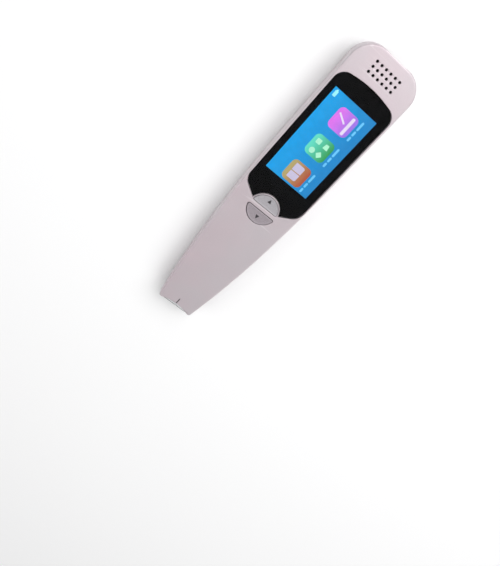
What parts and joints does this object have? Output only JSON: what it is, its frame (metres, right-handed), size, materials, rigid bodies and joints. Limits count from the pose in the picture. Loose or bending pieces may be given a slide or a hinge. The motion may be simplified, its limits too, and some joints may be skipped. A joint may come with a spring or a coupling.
{
  "type": "handheld scanning and reading pen",
  "caption": "Flat handheld text scanning pen with a colour screen, half-round buttons, a speaker grille, a side power button and a press-in clear tip.",
  "frame": {"origin": "under the middle of the pen, on the surface that its back lies on", "axes": "+X across the pen towards the power button, +Y along it from the scanning tip to the speaker end, +Z out of the screen"},
  "size_m": [0.032, 0.1474, 0.0124],
  "materials": {
    "body_paint": "satin pearl paint, pale pink silver",
    "button_paint": "finely brushed silver paint",
    "cover_glass": "polished",
    "black_film": "smooth black print",
    "black_plastic": "fine matt",
    "clear_plastic": "clear, polished",
    "white_plastic": "satin",
    "display": "lit panel behind glass",
    "circuit_board": "solder mask",
    "chip": "fine matt",
    "steel": "bright",
    "spring_steel": "drawn wire",
    "battery_foil": "laminate foil",
    "ribbon": "polyimide film",
    "red_wire": "soft insulation",
    "black_wire": "soft insulation",
    "phosphor": "lamp phosphor"
  },
  "bodies": {
    "pen": {"front_housing": "body_paint", "rear_housing": "body_paint", "cover_glass": "cover_glass", "border_film": "black_film", "glass_adhesive": "black_plastic", "lcd_cell": "display", "lcd_backlight": "white_plastic", "mid_frame": "black_plastic", "lcd_ribbon": "ribbon", "lcd_connector": "white_plastic", "upper_switch": "chip", "lower_switch": "chip", "power_switch": "chip", "nib_spring_left": "spring_steel", "nib_spring_right": "spring_steel", "nib_switch": "chip", "camera_board": "circuit_board", "camera_module": "black_plastic", "lens_barrel": "black_plastic", "lens": "cover_glass", "light_tunnel": "black_plastic", "led_left": "phosphor", "led_right": "phosphor", "camera_ribbon": "ribbon", "main_board": "circuit_board", "processor": "chip", "memory_chip": "chip", "shield_can": "steel", "radio_module": "steel", "battery": "battery_foil", "battery_board": "circuit_board", "battery_lead_positive": "red_wire", "battery_lead_negative": "black_wire", "top_board": "circuit_board", "usb_shell": "steel", "usb_tongue": "black_plastic", "microphone": "steel", "speaker": "black_plastic", "speaker_mesh": "black_plastic", "antenna": "ribbon", "case_screw_1": "steel", "case_screw_2": "steel", "case_screw_3": "steel", "case_screw_4": "steel", "board_screw_left": "steel", "board_screw_right": "steel"},
    "upper_button": {"upper_button": "button_paint"},
    "upper_switch_plunger": {"upper_switch_plunger": "black_plastic"},
    "lower_button": {"lower_button": "button_paint"},
    "lower_switch_plunger": {"lower_switch_plunger": "black_plastic"},
    "power_button": {"power_button": "button_paint"},
    "power_switch_plunger": {"power_switch_plunger": "black_plastic"},
    "nib": {"nib": "clear_plastic"},
    "nib_switch_plunger": {"nib_switch_plunger": "black_plastic"}
  },
  "joints": [
    {"name": "upper_button_press", "type": "slide", "parent": "pen", "child": "upper_button", "axis": [0, 0, -1], "range_m": [0, 0.0004], "stiffness_N_per_m": 800, "springref_m": -0.0008},
    {"name": "upper_plunger_press", "type": "slide", "parent": "pen", "child": "upper_switch_plunger", "axis": [0, 0, -1], "range_m": [0, 0.0004]},
    {"name": "lower_button_press", "type": "slide", "parent": "pen", "child": "lower_button", "axis": [0, 0, -1], "range_m": [0, 0.0004], "stiffness_N_per_m": 800, "springref_m": -0.0008},
    {"name": "lower_plunger_press", "type": "slide", "parent": "pen", "child": "lower_switch_plunger", "axis": [0, 0, -1], "range_m": [0, 0.0004]},
    {"name": "power_button_press", "type": "slide", "parent": "pen", "child": "power_button", "axis": [-1, 0, 0], "range_m": [0, 0.0004], "stiffness_N_per_m": 800, "springref_m": -0.0008},
    {"name": "power_plunger_press", "type": "slide", "parent": "pen", "child": "power_switch_plunger", "axis": [-1, 0, 0], "range_m": [0, 0.0004]},
    {"name": "nib_press", "type": "slide", "parent": "pen", "child": "nib", "axis": [0, 1, 0], "range_m": [0, 0.0005], "stiffness_N_per_m": 500, "springref_m": -0.001, "deforming": ["nib_spring_left", "nib_spring_right"]},
    {"name": "nib_plunger_press", "type": "slide", "parent": "pen", "child": "nib_switch_plunger", "axis": [0, 1, 0], "range_m": [0, 0.0005]}
  ],
  "couplings": [
    {"joint": "upper_plunger_press", "follows": "upper_button_press", "ratio": 1},
    {"joint": "lower_plunger_press", "follows": "lower_button_press", "ratio": 1},
    {"joint": "power_plunger_press", "follows": "power_button_press", "ratio": 1},
    {"joint": "nib_plunger_press", "follows": "nib_press", "ratio": 1}
  ]
}
